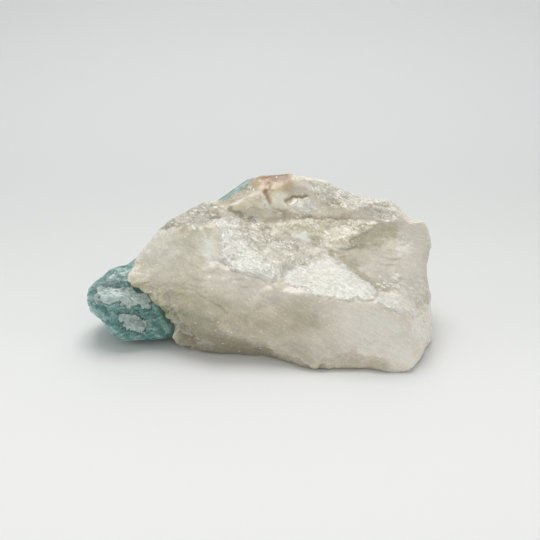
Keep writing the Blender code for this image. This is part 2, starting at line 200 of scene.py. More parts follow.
PANELS = [  # name, side in m, power in W, place in m
    ("overhead panel", 0.38, 2.0, (-0.02, 0.2, 0.61)),
    ("back panel", 0.8, 1.6, (0.05, 0.63, 0.48)),
    ("front fill", 1.0, 0.8, (0.15, -0.9, 0.45)),
    ("left fill", 0.8, 1.1, (-0.8, 0.05, 0.32)),
    ("right fill", 0.8, 0.5, (0.8, -0.1, 0.3)),
]
STONE_MIDDLE = (0, 0, 0.02)
for name, side, power, place in PANELS:
    add_panel(name, side, power, place, STONE_MIDDLE)
world = bpy.data.worlds.new("tent")
world.use_nodes = True
world.node_tree.nodes["Background"].inputs["Color"].default_value = (*linear("#F7F8FA"), 1)
world.node_tree.nodes["Background"].inputs["Strength"].default_value = 0.44
bpy.context.scene.world = world
bpy.context.scene.view_settings.view_transform = "Standard"
print(len(PANELS), "panels,", round(sum(panel[2] for panel in PANELS), 1), "W in all")

# %% [markdown]
# Broken mineral is rough at every size, and none of it repeats. The slow changes on it, from veil to clear
# and from high to low, are clouds: chance numbers at the corners of a lattice, blended smoothly between
# them. The chance is a fixed formula of the place, so a run always gives the same stone.

# %% Chance and clouds
def smooth(low, high, value):
    """0 below low, 1 above high, and between them t t (3 - 2 t)."""
    t = np.clip((value - low) / (high - low), 0, 1)
    return t * t * (3 - 2 * t)


def chance(cells, seed):
    """A fixed number from 0 to 1 for each whole-numbered cell: multiply the parts by large primes, then fold
    the bits twice."""
    mixed = cells.astype(np.int64) @ np.array([73856093, 19349663, 83492791]) + seed * 15485863
    mixed = mixed.astype(np.uint64)
    for factor in (0xFF51AFD7ED558CCD, 0xC4CEB9FE1A85EC53):
        mixed = (mixed ^ (mixed >> np.uint64(33))) * np.uint64(factor)
    return (mixed >> np.uint64(40)) / 2.0 ** 24


def clouds(places, size, seed):
    """Smooth noise from -1 to 1: chance numbers at the corners of a cubic lattice, blended between them."""
    scaled = places / size
    corner = np.floor(scaled)
    t = scaled - corner
    t = t * t * t * (t * (t * 6 - 15) + 10)
    total = np.zeros(len(places))
    for step in itertools.product((0, 1), repeat=3):
        weight = np.prod(np.where(step, t, 1 - t), axis=1)
        total += weight * chance(corner + step, seed)
    return total * 2 - 1


PROBE = np.array([[1.0, 2.0, 3.0]])
print("cloud height at one place:", round(clouds(PROBE, 2.0, 1)[0], 3))

# %% [markdown]
# Quartz has no cleavage and breaks in small flat patches that meet in crisp creases. The same chance
# numbers give those when straight lines join them. The lattice is turned, because flat patches that line up
# with the axes look made.

# %% Facets
LATTICE_TURN = np.array(Euler((0.5, 0.9, 0.3)).to_matrix())


def facets(places, size, seed):
    """Height from -1 to 1 that is flat in patches of the size: chance numbers at the corners of a turned cubic
    lattice, joined by straight lines. From a cube's low corner the path steps first along the axis with the
    largest remainder, and each step adds its rise times that remainder."""
    bent = places + np.stack([clouds(places, size * 2, seed + 30 + i) for i in range(3)], 1) * size * 0.35
    scaled = bent @ LATTICE_TURN / size
    here = np.floor(scaled)
    t = scaled - here
    order = np.argsort(-t, axis=1)
    row = np.arange(len(places))
    level = chance(here, seed)
    height = level.copy()
    for axis in order.T:
        here[row, axis] += 1
        following = chance(here, seed)
        height += (following - level) * t[row, axis]
        level = following
    return height * 2 - 1


print("facet height at the same place:", round(facets(PROBE, 2.0, 1)[0], 3))

# %% [markdown]
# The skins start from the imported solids, because a broken stone has no profile or path to carry: its shape
# is the shape that was measured. A copy of the solid is merged, covered with an even net of small squares
# by a voxel remesh, and read into numpy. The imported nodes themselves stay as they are, for collision.

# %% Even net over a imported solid
MERGE_WITHIN = 1e-6


def net_over(name, node, size):
    """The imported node's shape as a closed net of squares that are size mm wide, on an object of its own."""
    mesh = bmesh.new()
    mesh.from_mesh(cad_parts[node].data)
    bmesh.ops.remove_doubles(mesh, verts=mesh.verts, dist=MERGE_WITHIN)
    data = bpy.data.meshes.new(name)
    mesh.to_mesh(data)
    mesh.free()
    piece = bpy.data.objects.new(name, data)
    bpy.context.scene.collection.objects.link(piece)
    remesh = piece.modifiers.new("net", "REMESH")
    remesh.mode = "VOXEL"
    remesh.voxel_size = size * MM
    scene = bpy.context.evaluated_depsgraph_get()
    piece.data = bpy.data.meshes.new_from_object(piece.evaluated_get(scene))
    piece.modifiers.clear()
    piece.data.name = name
    piece.data.materials.clear()
    piece.data.shade_smooth()
    print(name, "has", len(piece.data.polygons) * 2, "triangles")
    return piece


# %% [markdown]
# A skin holds its net as numpy arrays in millimetres, so relief is sums over whole arrays. It can relax,
# which takes out the small stairs that a voxel net leaves, it can be raised along its own normals, and it
# can keep numbers on its corners for the material to read.

# %% A skin that numpy can shape
SHARP = 0.05


def read(items, field, width, kind=np.float32):
    """One field of every item, as rows of width numbers."""
    values = np.empty(len(items) * width, kind)
    items.foreach_get(field, values)
    return values.reshape(-1, width)


class Skin:
    """A net in mm: its places, its facing (the normals), its edges and the object that carries them."""

    def __init__(self, piece):
        self.piece, self.data = piece, piece.data
        self.places = read(self.data.vertices, "co", 3).astype(float) / MM
        self.edges = read(self.data.edges, "vertices", 2, np.int32).astype(int)
        self.facing = read(self.data.vertex_normals, "vector", 3).astype(float)

    def average(self, values):
        """For every corner, the average of its neighbours' values."""
        one, other = self.edges.T
        count = len(self.places)
        near = np.concatenate([one, other]), np.concatenate([other, one])
        members = np.bincount(near[0], minlength=count)
        sums = [np.bincount(near[0], column[near[1]], count) for column in values.T]
        return np.stack(sums, 1) / members[:, None]

    def relax(self, times, share):
        """Move each corner a share of the way to its neighbours' average, that many times."""
        for _ in range(times):
            self.places += (self.average(self.places) - self.places) * np.reshape(share, (-1, 1))
        self.write()

    def edge(self):
        """How sharply the skin turns at each corner: how far it stands above its neighbours' average, over
        SHARP mm. Crests come out positive and grooves negative."""
        above = ((self.places - self.average(self.places)) * self.facing).sum(1)
        return np.clip(above / SHARP, -1, 1)

    def raise_by(self, height):
        """Move each corner along its own facing by the height in mm."""
        self.places += self.facing * height[:, None]
        self.write()

    def write(self):
        """Put the places back into the mesh, inside the stone's box and above the table."""
        low, high = (np.array(corner) / MM for corner in cad_box)
        self.places = np.clip(self.places, low, high)
        self.data.vertices.foreach_set("co", (self.places * MM).ravel())
        self.data.update()
        self.facing = read(self.data.vertex_normals, "vector", 3).astype(float)

    def keep(self, name, values):
        """Store values on the corners as an attribute that the material reads."""
        kind, field = ("FLOAT", "value") if values.ndim == 1 else ("FLOAT_COLOR", "color")
        attribute = self.data.attributes.new(name, kind, "POINT")
        attribute.data.foreach_set(field, values.astype(np.float32).ravel())


QUARTZ_NET, CRYSTAL_NET = 0.55, 0.36
quartz = Skin(net_over("quartz_skin", "quartz_matrix", QUARTZ_NET))
crystal = Skin(net_over("aquamarine_skin", "aquamarine", CRYSTAL_NET))

# %% [markdown]
# Milky quartz isn't one colour. Where it is full of tiny bubbles it is white, where it is clear it looks
# grey and dark, and where it broke rough it is frosted. Those zones have real outlines on this stone. They
# are drawn as they are seen from the front, in millimetres on the upright plane through the middle of the
# stone, and pinned to the skin once, so they stay on the stone from every side.

# %% Measuring against an outline
def seen(places):
    """Across and up, in mm: the offset from the line of sight times the viewing distance over the depth."""
    eye = np.array(camera.location) / MM
    way = places - eye
    depth = way @ np.array(sight)
    up = np.array((0, math.sin(VIEW_DOWN), math.cos(VIEW_DOWN)))
    return np.stack([way[:, 0], way @ up], 1) / depth[:, None] * VIEW_DISTANCE / MM


def line_distance(points, line):
    """Distance in mm from each point to the nearest stretch of the line."""
    nearest = np.full(len(points), np.inf)
    for start, end in zip(line, line[1:]):
        start, along = np.array(start, float), np.subtract(end, start).astype(float)
        t = np.clip((points - start) @ along / (along @ along), 0, 1)
        nearest = np.minimum(nearest, np.linalg.norm(points - start - t[:, None] * along, axis=1))
    return nearest


def depth_inside(points, outline):
    """Distance in mm from each point to the outline's nearest edge, positive inside: a point is inside where a
    line to its right crosses the outline an odd number of times."""
    inside = np.zeros(len(points), bool)
    for start, end in zip(outline, outline[1:] + outline[:1]):
        level = (points[:, 1] - start[1]) / (end[1] - start[1] or 1e-9)
        inside ^= (level >= 0) & (level < 1) & (points[:, 0] < start[0] + level * (end[0] - start[0]))
    nearest = line_distance(points, outline + outline[:1])
    return np.where(inside, nearest, -nearest)


print("the point that the camera looks at is", seen(np.array([LOOK_AT]) / MM)[0].round(1) + 0.0)

# %% [markdown]
# Each zone is one break or one kind of filling in the quartz, and on some of them light or shade is
# painted; each is named for where it lies. A later line of the relief or of the colours says what it does
# there.

# %% Zones of the quartz
QUARTZ_ZONES = {
    "frosted strip": [
        (-17.5, 18), (-10, 18), (-10, 14.5), (-8.5, 9.5), (-6.5, 7), (-3, 5.5), (0.5, 2.5), (2.5, -2),
        (0.5, -4.5), (-4, -2.5), (-8.5, -1.5), (-13, 0.5), (-17, 3.5), (-17.5, 8), (-16, 11), (-18.5, 15.5)],
    "bright face": [
        (2, 2.5), (5.5, 2.5), (9, 1.5), (13, 1), (17, 4), (21, 4), (26.5, 1), (30.5, -2), (35, -5), (37.5, -8),
        (37, -10.5), (33.5, -11), (30.5, -9.5), (28, -10.5), (22, -9.5), (16, -8.5), (11, -6), (5, -5)],
    "slab": [
        (5, 16), (10.5, 17), (26.5, 17.5), (34.5, 17), (36.5, 15.5), (34, 13.5), (27.5, 10.5), (28, 8.5),
        (23, 9), (20.5, 7), (16.5, 9), (8, 10.5), (7, 12.5), (4, 14.5)],
    "slab chip": [(7, 13), (11.5, 13.5), (13.5, 10.5), (13, 9), (8, 10.5)],
    "slab glints": [(19.5, 8.5), (22.5, 9), (27, 8.5), (26, 7.5), (23, 7), (20, 7)],
    "overhang": [
        (0.5, 22.5), (6, 20), (10.5, 19.5), (16.5, 19), (22, 18.5), (26, 20), (28.5, 19.5), (29, 17.5),
        (22, 17), (10.5, 17), (5, 16.5), (0, 19.5)],
    "slot": [(-15.5, 22.5), (-11.5, 21.5), (-5.5, 17.5), (-4, 16), (-8, 16), (-11.5, 19), (-14.5, 20)],
    "grey sugar": [
        (-9.5, 15.5), (-3.5, 14.5), (5, 10.5), (13, 7.5), (22, 4.5), (17, 4), (13, 1), (2, 3), (-3, 6.5),
        (-6.5, 7.5), (-8.5, 10.5)],
    "right face": [
        (27.5, 11), (34.5, 14.5), (37.5, 17.5), (53, 17.5), (54.5, 14), (56, 9), (55.5, -5), (56.5, -10.5),
        (47, -14.5), (40, -11.5), (37.5, -8), (35, -5), (30.5, -1.5), (24.5, 5), (20, 7), (28, 8.5)],
    "olive patch": [
        (28.5, 10.5), (35.5, 14), (38.5, 16), (45, 15.5), (44.5, 10.5), (42, 4), (35.5, 3), (30.5, 6.5)],
    "valley": [
        (20, 7), (24.5, 6.5), (30, 3.5), (32.5, 1.5), (35.5, -3.5), (30.5, -1.5), (26.5, 1.5), (22, 4.5)],
    "corner glints": [(-38.5, 14.5), (-33, 13.5), (-32.5, 12), (-36, 12), (-39, 12.8)],
    "beside the sliver": [(-19, 25), (-13, 29.5), (-6, 33), (-6, 28), (-10, 24.5), (-17, 22)],
    "pale crest": [(-3.5, 27.5), (5.5, 27), (5.5, 21.5), (-3.5, 22)],
    "below the strip": [(-10, 0), (-3, 0.5), (3, 3), (6, 1), (6, -4), (-1, -4), (-8, -3.5)],
    "left of the strip": [(-26.5, 10), (-20, 11), (-17, 6), (-17.5, 3.5), (-22, 3.5)],
    "left ledge": [(-31, 17), (-23, 18), (-22, 14.5), (-31, 13.5)],
    "sugar top": [(-3, 17.5), (3, 17.5), (4, 13.5), (-3, 14)],
    "over the overhang": [(20, 24.5), (25, 24.5), (26, 20.5), (20, 21)],
    "right of the valley": [(26, 7), (33, 8), (35, 2), (29, 1)],
    "right crest": [(36, -7), (44, -8), (51, -13), (50, -16.5), (42, -13), (36, -11)],
    "foot by the crystal": [(-36, -13), (-31, -13), (-18, -17), (-18, -23), (-28, -21), (-34, -18)],
    "face chip": [(43, 10.5), (45, 11), (47.5, 9.5), (48, 7.5), (45, 8), (43.5, 9)],
    "scoop crescent": [(6, 22.5), (5.5, 24.5), (8.5, 26), (13.5, 25.5), (11.5, 24.5), (9.5, 25), (7, 23.5)],
    "scoop floor": [(6.5, 21.5), (10.5, 24.5), (17, 23.5), (17, 22), (14, 20), (10, 20.5)],
    "iron stain": [
        (-7.5, 31.5), (-4, 32.5), (1.5, 33.5), (7.5, 33.5), (9, 31.5), (7, 27), (2, 25), (-0.5, 26),
        (-3, 28), (-6.5, 28.5)],
    "iron core": [(-6, 32), (1.5, 34.5), (7.5, 34.5), (7, 31.5), (4, 31), (0.5, 30.5), (-3, 31)],
    "undercut": [
        (-32, -18), (-24.5, -20), (-15.5, -22.5), (-8.5, -24.5), (-0.5, -27), (4.5, -30.5), (21, -32),
        (22.5, -35), (3.5, -33), (-1.5, -31), (-24.5, -30.5), (-33, -26)],
    "lip stain": [
        (-47.5, -4), (-44.5, -4.5), (-42, -8.5), (-38.5, -10.5), (-34, -12.5), (-31.5, -15.5), (-31.5, -18),
        (-35, -17.5), (-39, -14.5), (-43, -11), (-46, -7.5), (-48.5, -5.5)],
    "top right grain": [
        (14.5, 29), (21, 30.5), (28, 27), (35, 26), (42, 24), (46, 21.5), (44.5, 17.5), (37.5, 17.5),
        (31.5, 20), (26, 21.5), (19, 23.5), (14.5, 26)],
    "bottom chip": [
        (-1, -27), (4, -26.5), (9.5, -26.5), (14.5, -28.5), (19, -31.5), (17, -33), (13, -32.5), (9.5, -30),
        (2, -29)],
    "second bottom chip": [
        (18, -31.5), (24.5, -30.5), (28.5, -28.5), (32, -31), (35.5, -30), (41, -31.5), (41, -34),
        (28, -33.5), (21, -33)],
    "left shelf": [
        (-38.5, 14.5), (-32.5, 15.5), (-27, 17), (-17.5, 18), (-17.5, 19.5), (-15.5, 22.5), (-20, 24),
        (-26, 23), (-30, 20), (-36, 17.5)],
    "milky block": [
        (21, -10.5), (33.5, -11.5), (45, -15.5), (55.5, -14.5), (56, -23), (52, -31.5), (47.5, -35),
        (38.5, -33.5), (28.5, -28), (23, -21)],
    "greenish slope": [
        (-19.5, 23.5), (-14, 28), (-7, 30.5), (-3, 28), (-0.5, 24.5), (3.5, 22.5), (0.5, 20), (-4, 16.5),
        (-9.5, 21), (-14, 22.5)],
    "pale veil": [
        (-23, 4), (-16, 3), (-10, -1), (0, -4), (5, -6), (12, -8), (8, -11), (-2, -12), (-10, -10),
        (-18, -6), (-22, -2)],
    "khaki band": [
        (-45, -5), (-38, -5.5), (-30, -6), (-22, -8), (-12, -12), (0, -14), (10, -12), (17, -15), (17, -20),
        (5, -24), (-10, -23), (-22, -19), (-30, -15), (-38, -10)],
    "left brow": [(-44, 4), (-41, 11), (-37, 13.5), (-30, 10), (-31, 4), (-38, 1)],
    "sheen": [(29, 8), (34, 9), (43, 6), (44, -8), (40, -10), (34, -4), (28, 2)],
    "right sparkle": [(36, -4), (44, -2), (54, -2), (56, -12), (50, -16), (42, -12), (37, -9)],
    "crest flecks": [
        (37, -10), (42, -11.5), (47, -14), (52, -16), (52, -17), (46, -15), (41, -13), (37, -11.5)],
    "right rim": [(45, 15), (53, 16), (55, 8), (55, -8), (53, -12), (46, -10)],
    "fleck a": [(-30, -20.5), (-27.5, -21), (-28, -22.5), (-30.5, -22)],
    "fleck b": [(-24, -24), (-22, -24.5), (-19, -26.5), (-21, -27), (-24, -25)],
    "fleck c": [(-18, -22), (-15, -21.5), (-15.5, -23), (-18, -22.5)],
    "fleck d": [(-14, -19.5), (-10.5, -20), (-11, -21.5), (-13, -21)],
    "fleck e": [(-22.5, -15), (-20.5, -15), (-20, -17.5), (-22, -17)],
    "fleck f": [(-22, 4), (-20, 3.5), (-17, 3.5), (-17, 2.5), (-20.5, 2.5)],
    "left face": [
        (-47, -3.5), (-44, 9), (-38.5, 14.5), (-27, 16.5), (-19, 15.5), (-16.5, 10.5), (-16.5, 7),
        (-14.5, 4), (-23, 4), (-23.5, -14), (-28, -7), (-34, -5.5), (-44.5, -4.5)],
}

print(len(QUARTZ_ZONES), "zones on the quartz")

# %% [markdown]
# Cracks, seams and the lower rims of ledges are lines and not areas. Along the crests that catch the light
# the grain glitters, and those runs are lines too; along them frost and glints are painted on, a painted
# highlight.

# %% Cracks and crests of the quartz
QUARTZ_LINES = {
    "iron run": [(-1, 31), (-1.5, 28), (-1, 25.5), (0, 23.5)],
    "under the left shelf": [(-38.5, 14.5), (-32.5, 15.5), (-27, 17), (-17.5, 18)],
    "front seam": [(-44.5, -4.5), (-34, -5.5), (-26, -7.5), (-20.5, -11), (-15, -14.5)],
    "crack in the stain": [(0, 30), (-1.5, 27), (-1, 24), (-0.5, 23)],
    "rim of the scoop": [(6, 22.5), (5.5, 24.5), (8.5, 26), (13, 25.5)],
    "over the slab": [(0, 22), (6, 20), (12, 18.5), (19, 17.5), (28, 18), (37.5, 17)],
    "valley": [(19, 7.5), (26.5, 4), (31.5, 1.5), (35.5, -4), (38.5, -7.5)],
    "left of the strip": [(-18.5, 15.5), (-16, 11), (-16.5, 8), (-14.5, 4.5), (-12, 2)],
}

SPARKLE_LINES = [
    [(-17, 13), (-16, 8), (-15, 5), (-12, 1.5)],
    [(3, 1), (4, -3), (6, -5), (11, -6), (16, -8), (22, -9.5), (28, -10.5), (33, -10.5), (37, -9.5)],
    [(37, -9.5), (42, -12), (47, -14.5), (53, -16.5)],
    [(7, 11), (14, 9.5), (20, 7.5), (27, 8)],
    [(-9, 18.5), (-4, 16), (1, 15.5), (5, 13.5), (8, 10.5)],
    [(13, 20), (18, 20.5), (21, 20)],
    [(8, 31.5), (16, 31), (24, 28.5), (33, 26), (41, 24.5), (46, 21.5)],
    [(-9, 30), (-4, 27), (-2, 23), (0, 21)],
    [(20, 5), (26, 1), (31, -3), (36, -8)],
    [(-45, 3), (-43, 9), (-39, 13)],
    [(-23.2, 4.6), (-19, 3.9)],
    [(-27.5, 15.5), (-24, 13), (-21.5, 10)],
]

print(len(QUARTZ_LINES), "cracks and", len(SPARKLE_LINES), "glittering crests")

# %% [markdown]
# No zone of a stone has a clean outline. The view is shifted by noise before it is measured, a little more
# for zones than for lines, and the far side of the stone is outside every zone.

# %% Zones pinned to the skin
RAGGED_ZONES, RAGGED_LINES = 0.7, 0.5
FAR_SIDE = 6


def bent_view(skin, ragged):
    """The points as seen, shifted by noise of sizes near 2 mm and 1 mm, so that outlines come out ragged."""
    points = seen(skin.places)
    for axis in (0, 1):
        points[:, axis] += clouds(skin.places, 2.2, 40 + axis) * ragged
        points[:, axis] += clouds(skin.places, 0.9, 50 + axis) * ragged * 0.5
    return points


def turned_away(skin):
    """0 on the side that the viewer sees, rising to FAR_SIDE mm on what faces away from them."""
    return smooth(0.05, -0.2, -(skin.facing @ np.array(sight))) * FAR_SIDE


def zone_depths(skin, zones, ragged):
    """How deep each corner lies in each zone, in mm; what faces away from the viewer is outside."""
    points, away = bent_view(skin, ragged), turned_away(skin)
    return {name: depth_inside(points, outline) - away for name, outline in zones.items()}


zone = zone_depths(quartz, QUARTZ_ZONES, RAGGED_ZONES)
points, away = bent_view(quartz, RAGGED_LINES), turned_away(quartz)
line = {name: line_distance(points, course) + away for name, course in QUARTZ_LINES.items()}
sparkle = np.minimum.reduce([line_distance(points, course) for course in SPARKLE_LINES]) + away
print("largest zone:", max(zone, key=lambda name: (zone[name] > 0).sum()))

# %% [markdown]
# Where the break ran through many small crystals, the quartz is sugary: grains of about a millimetre. Where
# it ran through one large crystal, it is clean and nearly smooth. Every corner gets a share of both, from 0
# to 1. The far side has no zones, so clouds put its sugary patches in place.

# %% Sugary and clean breaks
SUGARY = {"grey sugar": 1, "frosted strip": 1, "slot": 1, "crest flecks": 1, "top right grain": 0.7,
          "overhang": 0.6, "left shelf": 0.45}
LOWER_FRONT = -14


def share(name, soft=0.5):
    """0 outside a zone and 1 inside it, over a border that is soft mm wide on each side."""
    return smooth(-soft, soft, zone[name])


sugar = np.maximum.reduce(
    [share(name) * amount for name, amount in SUGARY.items()]
    + [share("right sparkle", 2) * 0.5, share("slab") * 0.5 - share("slab chip") * 0.4])
clean = np.maximum.reduce([share("left face", 2), share("milky block", 3), share("right face", 1) * 0.8,
                           share("bright face") * 0.8, share("slab") * 0.5])
front = smooth(0, 0.3, -(quartz.facing @ np.array(sight)))
front *= smooth(-2.0, 2.0, LOWER_FRONT - seen(quartz.places)[:, 1])
hidden = smooth(0, FAR_SIDE, turned_away(quartz))
sugar = np.maximum(sugar, hidden * smooth(0.15, 0.45, clouds(quartz.places, 9.0, 600)) * 0.7)
clean = np.maximum(clean, front * 0.8) * (1 - sugar)
print("sugary:", round(100 * sugar.mean()), "%, clean:", round(100 * clean.mean()), "%")

# %% [markdown]
# A voxel net comes out with small stairs on its slopes. Relaxing takes them out: a few rounds everywhere,
# most on the clean breaks and least near the table, where the foot keeps its line, and many on the right
# face, which is one gentle curve.

# %% Taking the stairs out of the net
above_foot = 0.15 + 0.85 * smooth(1.0, 6.0, quartz.places[:, 2])
quartz.relax(4, 0.5 * (0.2 + 0.8 * clean) * above_foot)
quartz.relax(60, 0.5 * smooth(0.5, 5, zone["right face"]))
print("quartz skin, mm:", quartz.places.min(0).round(1), "to", quartz.places.max(0).round(1))

# %% [markdown]
# Where the crystal comes out of it, the quartz ends in a torn lip. Its corners are moved along the
# crystal's run by facets of two sizes, which leaves teeth there and nothing elsewhere.

# %% Torn lip round the crystal
CRYSTAL_RUN = np.array((0.78, 0.53, 0.35))


def past_lip(places):
    """How far each place lies behind the lip, in mm along the crystal's run: the place times the run, plus
    the 30 mm from the lip to the middle of the stone."""
    return places @ CRYSTAL_RUN + 30


teeth = facets(quartz.places, 2.8, 500) * 1.6 + facets(quartz.places, 1.3, 510) * 0.6
teeth *= smooth(5, 0, past_lip(quartz.places))
quartz.places += CRYSTAL_RUN * teeth[:, None]
quartz.write()
print("longest tooth, mm:", round(np.abs(teeth).max(), 2))

# %% [markdown]
# Broken quartz is flat chips of every size, drawn out along the grain of the vein. Each layer of chips has
# a size, and a height that is small on the clean breaks and large in the sugar.

# %% Chips
GRAIN_RUN = Vector((0.87, -0.28, -0.4)).normalized()
DRAWN_OUT = np.eye(3) - 0.5 * np.outer(GRAIN_RUN, GRAIN_RUN)
EVEN = np.eye(3)

spots = quartz.places.copy()
calm = 1 - 0.85 * clean
chips = [  # run, size in mm, seed, height in mm at each corner
    (EVEN, 7.0, 100, 0.25 * calm),
    (DRAWN_OUT, 3.0, 200, 0.22 * calm),
    (DRAWN_OUT, 1.5, 300, (0.05 + 0.2 * sugar) * (1 - 0.7 * clean)),
    (DRAWN_OUT, 5.0, 530, 0.45 * share("left face", 2)),
    (DRAWN_OUT, 6.0, 540, 0.3 * front),
    (EVEN, 2.2, 520, 0.35 * share("lip stain", 1.5)),
]
height = sum(facets(spots @ run, size, seed) * rise for run, size, seed, rise in chips)
print("chips, mm:", height.min().round(2), "to", height.max().round(2))

# %% [markdown]
# The clear quartz also broke in fine ledges, one above the other, that fade in and out. That is a saw wave
# of the height, bent by clouds: it drops slowly over one ledge and jumps back at its end. Then come the
# forms of single zones, plates that stand up and hollows that lie deeper, and the foot at the right end.

# %% Ledges, plates and hollows
LEDGE_UP = np.array((0.1, 0.35, 1.0))
LEDGE_STEP, LEDGE_RISE = 3.2, 0.2
PLATES = [  # zone, softness of its edge in mm, height in mm
    ("bright face", 0.2, 0.3), ("slab", 0.35, 0.3), ("frosted strip", 0.3, 0.35), ("bottom chip", 0.3, 0.5),
    ("second bottom chip", 0.3, 0.3), ("scoop crescent", 0.8, -0.9), ("slot", 0.3, -0.2),
]

ledge = (spots @ LEDGE_UP + clouds(spots, 9.0, 400) * 2.5 + clouds(spots, 3.0, 410)) / LEDGE_STEP
ledge = (smooth(0.82, 1.0, ledge % 1) - ledge % 1) * smooth(-0.2, 0.6, clouds(spots, 6.0, 420))
height += ledge * LEDGE_RISE * (1 - share("bright face"))
for name, soft, rise in PLATES:
    height += share(name, soft) * rise
height += smooth(9, 2, spots[:, 2]) * smooth(5, 18, spots[:, 0]) * 1.1
print("with ledges and plates, mm:", height.min().round(2), "to", height.max().round(2))

# %% [markdown]
# Cracks are cut last, as grooves with soft sides, so that nothing fills them again.

# %% Cracks
GROOVES = {  # crack: its depth in mm
    "under the left shelf": 0.35, "front seam": 0.15, "crack in the stain": 0.25, "rim of the scoop": 0.25,
    "over the slab": 0.1, "valley": 0.05, "left of the strip": 0.2,
}
crack = np.maximum.reduce([smooth(0.9, 0.1, line[name]) * depth for name, depth in GROOVES.items()])
quartz.raise_by(height - crack)
print("quartz skin, mm:", quartz.places.min(0).round(1), "to", quartz.places.max(0).round(1))

# %% [markdown]
# The colours of the zones are laid over each other in order, each with its own soft border. Bubbles make
# quartz white, clear quartz over a dark hollow looks khaki or grey, and iron in water that ran over the
# crest left it orange to brown. Some tints are not the stone's own colour: the table marks those that are
# painted shade in hollows and under ledges, and those that are painted light and highlights.

# %% Tints of the quartz
QUARTZ_BODY = "#DFD8C8"
QUARTZ_TINTS = [  # zone, colour, softness of its edge in mm
    ("left face", "#D9D4C1", 2.0), ("left brow", "#E1DDCE", 3.0), ("pale veil", "#DFD9CB", 4.0),
    ("khaki band", "#CBC4AC", 4.0), ("milky block", "#F8EFE2", 7.0), ("right face", "#CDC7B8", 0.8),
    # sheen is painted darker where the panels light the right face most, a painted shade, and right rim is
    # painted lighter where that face turns away from them, a painted light.
    ("olive patch", "#BEB89E", 2.0), ("sheen", "#ADA691", 2.5), ("right rim", "#D9D4C7", 2.0),
    # valley, overhang and slot are painted darker for the shade that falls in them: painted shade.
    ("valley", "#B6AD95", 1.0), ("overhang", "#C9BEA5", 0.9), ("slot", "#B9B296", 0.7),
    # slab glints is painted near white: a painted highlight.
    ("slab", "#D9D2BB", 0.6), ("slab chip", "#FAF4E6", 0.6), ("slab glints", "#F6EED8", 0.4),
    ("grey sugar", "#D6D0BF", 1.0), ("top right grain", "#D7D2C2", 1.2), ("left shelf", "#B3AF9D", 1.0),
    ("greenish slope", "#E2DAC4", 1.8), ("iron stain", "#C9B897", 2.5), ("iron core", "#97744B", 1.2),
    # undercut is painted darker for the shade under the stone's belly: painted shade.
    ("lip stain", "#BCBB9A", 1.6), ("scoop crescent", "#D8C8A2", 0.5), ("undercut", "#A8A18B", 2.0),
    ("bottom chip", "#CCC4B3", 0.3), ("second bottom chip", "#C8C0AD", 1.6),
    ("face chip", "#CDC7B7", 0.4), ("beside the sliver", "#B0A790", 1.5), ("pale crest", "#FAF2DE", 1.5),
    # left ledge is painted darker for the shade under the shelf: painted shade.
    ("left of the strip", "#F3F0E3", 2.0), ("left ledge", "#B9B4A2", 1.5), ("sugar top", "#C4BCA4", 1.5),
    ("over the overhang", "#CCC4AE", 1.5), ("right of the valley", "#A59D83", 1.5),
    # right crest is painted lighter for its glitter, a painted highlight, and below the strip is painted
    # lighter against the shade under the strip's ledge, a painted light.
    ("right crest", "#E7E2D4", 1.0), ("below the strip", "#F6F0E3", 1.8),
    ("foot by the crystal", "#B0AC95", 1.8),
    ("fleck a", "#AAAA9A", 0.3), ("fleck b", "#B1AFA2", 0.3), ("fleck c", "#BAB8AD", 0.3),
    ("fleck d", "#C3BCAB", 0.3), ("fleck e", "#C4C0AB", 0.3), ("fleck f", "#FFFEF5", 0.3),
]
DULL_VEIL, OLD_IRON, RUST = "#B9B29A", "#C9A983", "#B3885E"


def laid_over(tint, colour, part):
    """The tint with the colour laid over it: a part of 0 keeps the tint, and 1 covers it."""
    return tint + (np.array(linear(colour)) - tint) * part[:, None]


tint = np.tile(linear(QUARTZ_BODY), (len(quartz.places), 1))
for name, colour, soft in QUARTZ_TINTS:
    tint = laid_over(tint, colour, share(name, soft))
veils = clouds(spots, 12.0, 610) + clouds(spots, 5.0, 620) * 0.5
tint = laid_over(tint, DULL_VEIL, smooth(0.1, 0.9, veils) * hidden * 0.7)
tint = laid_over(tint, OLD_IRON, smooth(0.45, 0.8, clouds(spots, 10.0, 630)) * hidden * 0.7)
# Along cracks, seams and the lower rims of ledges the tint is darkened by up to half: dark lines for the real
# cracks, and painted shade under the ledges and in the valley.
tint *= 1 - 0.5 * crack[:, None]
tint = laid_over(tint, RUST, smooth(1.4, 0.2, line["iron run"]) * 0.7)
print("mean tint of the quartz, linear:", tint.mean(0).round(3))

# %% [markdown]
# The material reads these from the corners. Frost goes over as its distance in mm to the edge of the
# frosted places, and not as a share, so that the material can break that edge up more finely than the net
# is.

# %% What the quartz keeps on its corners
# corner glints and crest flecks are frosted white for the light that they catch: painted highlights.
FROSTED = ["frosted strip", "bright face", "scoop floor", "crest flecks", "corner glints"]
FROST_REACH = 3

whiteness = 1 + 0.06 * share("frosted strip") - 0.06 * share("bright face")
# Near the glittering crests frost is painted in thin runs: a painted highlight.
frost = np.maximum.reduce([zone[name] for name in FROSTED] + [-0.12 - 0.6 * sparkle])
kept = {"tint": np.column_stack([tint, whiteness]), "edge": quartz.edge(), "sugar": sugar,
        "frost": np.clip(frost, -FROST_REACH, FROST_REACH), "sparkle": smooth(1.8, 0.2, sparkle)}
for name, values in kept.items():
    quartz.keep(name, values)
print("kept on the quartz:", ", ".join(kept))

# %% [markdown]
# Both minerals are broken and never polished, so each grain lies at its own angle and only some of them
# send the light to the eye. A Voronoi cell's colour is three chance numbers. Less a half, they are a
# direction, and tipping the normal by it, cell by cell, gives that glitter from real light and from any
# side.

# %% Tipped grains and bumps
def per(size):
    """The scale of a pattern whose features are size mm wide."""
    return 1 / (size * MM)


